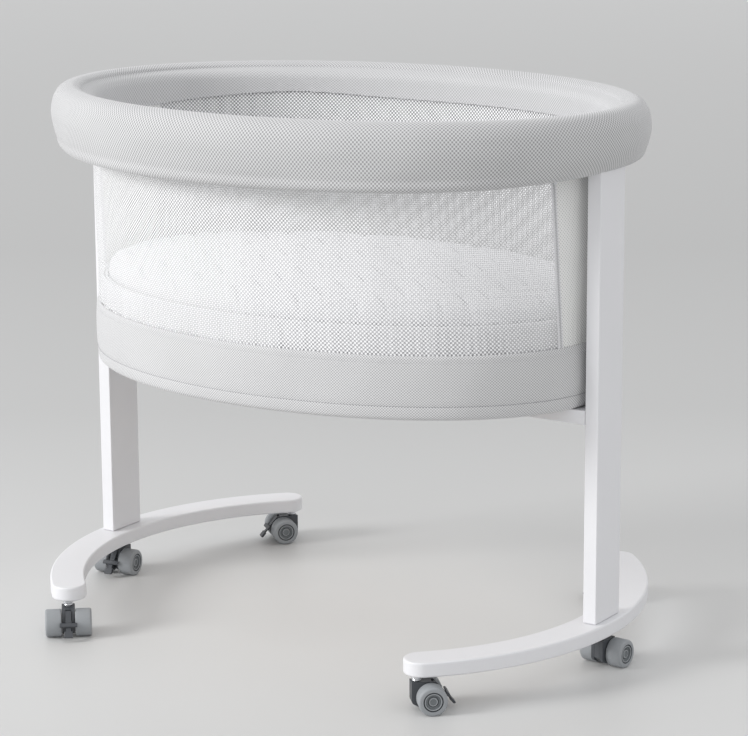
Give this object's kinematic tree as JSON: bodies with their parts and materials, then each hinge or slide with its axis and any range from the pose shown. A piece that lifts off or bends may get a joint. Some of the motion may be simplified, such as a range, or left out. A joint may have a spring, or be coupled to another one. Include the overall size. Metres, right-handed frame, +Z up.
{
  "type": "baby crib",
  "caption": "Oval bedside baby crib: padded rim and net walls round a mattress, on two white posts with curved feet and braked swivel casters.",
  "frame": {"origin": "on the floor under the middle of the crib", "axes": "+Z up, +X along the crib's length, -Y towards the zipped front"},
  "size_m": [0.9376, 0.692, 0.796],
  "materials": {
    "white_paint": "satin white lacquer on board",
    "raw_wood": "bare wood, out of sight",
    "hoop_metal": "plain drawn tube inside the fabric",
    "bracket_plastic": "moulded light grey",
    "rim_mesh": "light grey honeycomb spacer mesh over soft padding",
    "end_mesh": "close light grey mesh",
    "band_fabric": "grey padded knit",
    "net_fabric": "open white net",
    "zip_tape": "white woven tape with coil teeth",
    "zinc": "zinc plated",
    "dark_plastic": "fine moulded charcoal",
    "wheel_grey": "moulded mid grey",
    "bed_cotton": "white cotton cover",
    "quilt_cotton": "white quilted cotton with pale stitching"
  },
  "bodies": {
    "root": {"foot_left": "white_paint", "foot_right": "white_paint", "post_left": "white_paint", "post_right": "white_paint", "crossbar": "white_paint", "crossbar_dowel_left": "raw_wood", "crossbar_dowel_right": "raw_wood", "rim_hoop": "hoop_metal", "base_hoop": "hoop_metal", "base_board": "raw_wood", "hoop_bracket_left": "bracket_plastic", "hoop_bracket_right": "bracket_plastic", "bolster": "rim_mesh", "lower_band": "band_fabric", "net_front": "net_fabric", "net_back": "net_fabric", "end_panel_left": "end_mesh", "end_panel_right": "end_mesh", "zip_left": "zip_tape", "zip_right": "zip_tape", "front_left_caster_stem": "zinc", "mid_left_caster_stem": "zinc", "rear_left_caster_stem": "zinc", "front_right_caster_stem": "zinc", "mid_right_caster_stem": "zinc", "rear_right_caster_stem": "zinc"},
    "bedding": {"mattress": "bed_cotton", "quilt": "quilt_cotton"},
    "zip_slider_left": {"zip_slider_left": "zinc"},
    "zip_slider_right": {"zip_slider_right": "zinc"},
    "front_left_fork": {"front_left_caster_fork": "dark_plastic", "front_left_caster_axle": "zinc"},
    "front_left_wheel_left": {"front_left_caster_wheel_left": "wheel_grey"},
    "front_left_wheel_right": {"front_left_caster_wheel_right": "wheel_grey"},
    "front_left_brake": {"front_left_caster_brake_lever": "dark_plastic"},
    "mid_left_fork": {"mid_left_caster_fork": "dark_plastic", "mid_left_caster_axle": "zinc"},
    "mid_left_wheel_left": {"mid_left_caster_wheel_left": "wheel_grey"},
    "mid_left_wheel_right": {"mid_left_caster_wheel_right": "wheel_grey"},
    "mid_left_brake": {"mid_left_caster_brake_lever": "dark_plastic"},
    "rear_left_fork": {"rear_left_caster_fork": "dark_plastic", "rear_left_caster_axle": "zinc"},
    "rear_left_wheel_left": {"rear_left_caster_wheel_left": "wheel_grey"},
    "rear_left_wheel_right": {"rear_left_caster_wheel_right": "wheel_grey"},
    "rear_left_brake": {"rear_left_caster_brake_lever": "dark_plastic"},
    "front_right_fork": {"front_right_caster_fork": "dark_plastic", "front_right_caster_axle": "zinc"},
    "front_right_wheel_left": {"front_right_caster_wheel_left": "wheel_grey"},
    "front_right_wheel_right": {"front_right_caster_wheel_right": "wheel_grey"},
    "front_right_brake": {"front_right_caster_brake_lever": "dark_plastic"},
    "mid_right_fork": {"mid_right_caster_fork": "dark_plastic", "mid_right_caster_axle": "zinc"},
    "mid_right_wheel_left": {"mid_right_caster_wheel_left": "wheel_grey"},
    "mid_right_wheel_right": {"mid_right_caster_wheel_right": "wheel_grey"},
    "mid_right_brake": {"mid_right_caster_brake_lever": "dark_plastic"},
    "rear_right_fork": {"rear_right_caster_fork": "dark_plastic", "rear_right_caster_axle": "zinc"},
    "rear_right_wheel_left": {"rear_right_caster_wheel_left": "wheel_grey"},
    "rear_right_wheel_right": {"rear_right_caster_wheel_right": "wheel_grey"},
    "rear_right_brake": {"rear_right_caster_brake_lever": "dark_plastic"}
  },
  "joints": [
    {"name": "bedding_lift", "type": "slide", "parent": "root", "child": "bedding", "axis": [0, 0, 1], "range_m": [0, 0.45]},
    {"name": "zip_slide_left", "type": "slide", "parent": "root", "child": "zip_slider_left", "axis": [-0.0234, 0.065, -0.9976], "range_m": [0, 0.225]},
    {"name": "zip_slide_right", "type": "slide", "parent": "root", "child": "zip_slider_right", "axis": [0.0234, 0.065, -0.9976], "range_m": [0, 0.225]},
    {"name": "front_left_swivel", "type": "hinge", "parent": "root", "child": "front_left_fork", "pos_m": [-0.30675, -0.28773, 0.0415], "axis": [0, 0, 1], "continuous": true},
    {"name": "front_left_roll_left", "type": "hinge", "parent": "front_left_fork", "child": "front_left_wheel_left", "pos_m": [-0.2953, -0.30162, 0.02042], "axis": [0.7716, 0.6361, 0], "continuous": true},
    {"name": "front_left_roll_right", "type": "hinge", "parent": "front_left_fork", "child": "front_left_wheel_right", "pos_m": [-0.2953, -0.30162, 0.02042], "axis": [0.7716, 0.6361, 0], "continuous": true},
    {"name": "front_left_brake_press", "type": "hinge", "parent": "front_left_fork", "child": "front_left_brake", "pos_m": [-0.28862, -0.30972, 0.0325], "axis": [0.7716, 0.6361, 0], "range_deg": [-30, 0]},
    {"name": "mid_left_swivel", "type": "hinge", "parent": "root", "child": "mid_left_fork", "pos_m": [-0.433, 0, 0.0415], "axis": [0, 0, 1], "continuous": true},
    {"name": "mid_left_roll_left", "type": "hinge", "parent": "mid_left_fork", "child": "mid_left_wheel_left", "pos_m": [-0.42987, -0.01773, 0.02042], "axis": [0.9848, 0.1736, 0], "continuous": true},
    {"name": "mid_left_roll_right", "type": "hinge", "parent": "mid_left_fork", "child": "mid_left_wheel_right", "pos_m": [-0.42987, -0.01773, 0.02042], "axis": [0.9848, 0.1736, 0], "continuous": true},
    {"name": "mid_left_brake_press", "type": "hinge", "parent": "mid_left_fork", "child": "mid_left_brake", "pos_m": [-0.42805, -0.02807, 0.0325], "axis": [0.9848, 0.1736, 0], "range_deg": [-30, 0]},
    {"name": "rear_left_swivel", "type": "hinge", "parent": "root", "child": "rear_left_fork", "pos_m": [-0.30675, 0.28773, 0.0415], "axis": [0, 0, 1], "continuous": true},
    {"name": "rear_left_roll_left", "type": "hinge", "parent": "rear_left_fork", "child": "rear_left_wheel_left", "pos_m": [-0.31832, 0.27394, 0.02042], "axis": [0.766, -0.6428, 0], "continuous": true},
    {"name": "rear_left_roll_right", "type": "hinge", "parent": "rear_left_fork", "child": "rear_left_wheel_right", "pos_m": [-0.31832, 0.27394, 0.02042], "axis": [0.766, -0.6428, 0], "continuous": true},
    {"name": "rear_left_brake_press", "type": "hinge", "parent": "rear_left_fork", "child": "rear_left_brake", "pos_m": [-0.32507, 0.2659, 0.0325], "axis": [0.766, -0.6428, 0], "range_deg": [-30, 0]},
    {"name": "front_right_swivel", "type": "hinge", "parent": "root", "child": "front_right_fork", "pos_m": [0.30675, -0.28773, 0.0415], "axis": [0, 0, 1], "continuous": true},
    {"name": "front_right_roll_left", "type": "hinge", "parent": "front_right_fork", "child": "front_right_wheel_left", "pos_m": [0.32013, -0.27568, 0.02042], "axis": [-0.6691, 0.7431, 0], "continuous": true},
    {"name": "front_right_roll_right", "type": "hinge", "parent": "front_right_fork", "child": "front_right_wheel_right", "pos_m": [0.32013, -0.27568, 0.02042], "axis": [-0.6691, 0.7431, 0], "continuous": true},
    {"name": "front_right_brake_press", "type": "hinge", "parent": "front_right_fork", "child": "front_right_brake", "pos_m": [0.32793, -0.26866, 0.0325], "axis": [-0.6691, 0.7431, 0], "range_deg": [-30, 0]},
    {"name": "mid_right_swivel", "type": "hinge", "parent": "root", "child": "mid_right_fork", "pos_m": [0.433, 0, 0.0415], "axis": [0, 0, 1], "continuous": true},
    {"name": "mid_right_roll_left", "type": "hinge", "parent": "mid_right_fork", "child": "mid_right_wheel_left", "pos_m": [0.43426, 0.01796, 0.02042], "axis": [-0.9976, 0.0698, 0], "continuous": true},
    {"name": "mid_right_roll_right", "type": "hinge", "parent": "mid_right_fork", "child": "mid_right_wheel_right", "pos_m": [0.43426, 0.01796, 0.02042], "axis": [-0.9976, 0.0698, 0], "continuous": true},
    {"name": "mid_right_brake_press", "type": "hinge", "parent": "mid_right_fork", "child": "mid_right_brake", "pos_m": [0.43499, 0.02843, 0.0325], "axis": [-0.9976, 0.0698, 0], "range_deg": [-30, 0]},
    {"name": "rear_right_swivel", "type": "hinge", "parent": "root", "child": "rear_right_fork", "pos_m": [0.30675, 0.28773, 0.0415], "axis": [0, 0, 1], "continuous": true},
    {"name": "rear_right_roll_left", "type": "hinge", "parent": "rear_right_fork", "child": "rear_right_wheel_left", "pos_m": [0.29044, 0.28012, 0.02042], "axis": [0.4226, -0.9063, 0], "continuous": true},
    {"name": "rear_right_roll_right", "type": "hinge", "parent": "rear_right_fork", "child": "rear_right_wheel_right", "pos_m": [0.29044, 0.28012, 0.02042], "axis": [0.4226, -0.9063, 0], "continuous": true},
    {"name": "rear_right_brake_press", "type": "hinge", "parent": "rear_right_fork", "child": "rear_right_brake", "pos_m": [0.28092, 0.27568, 0.0325], "axis": [0.4226, -0.9063, 0], "range_deg": [-30, 0]}
  ]
}
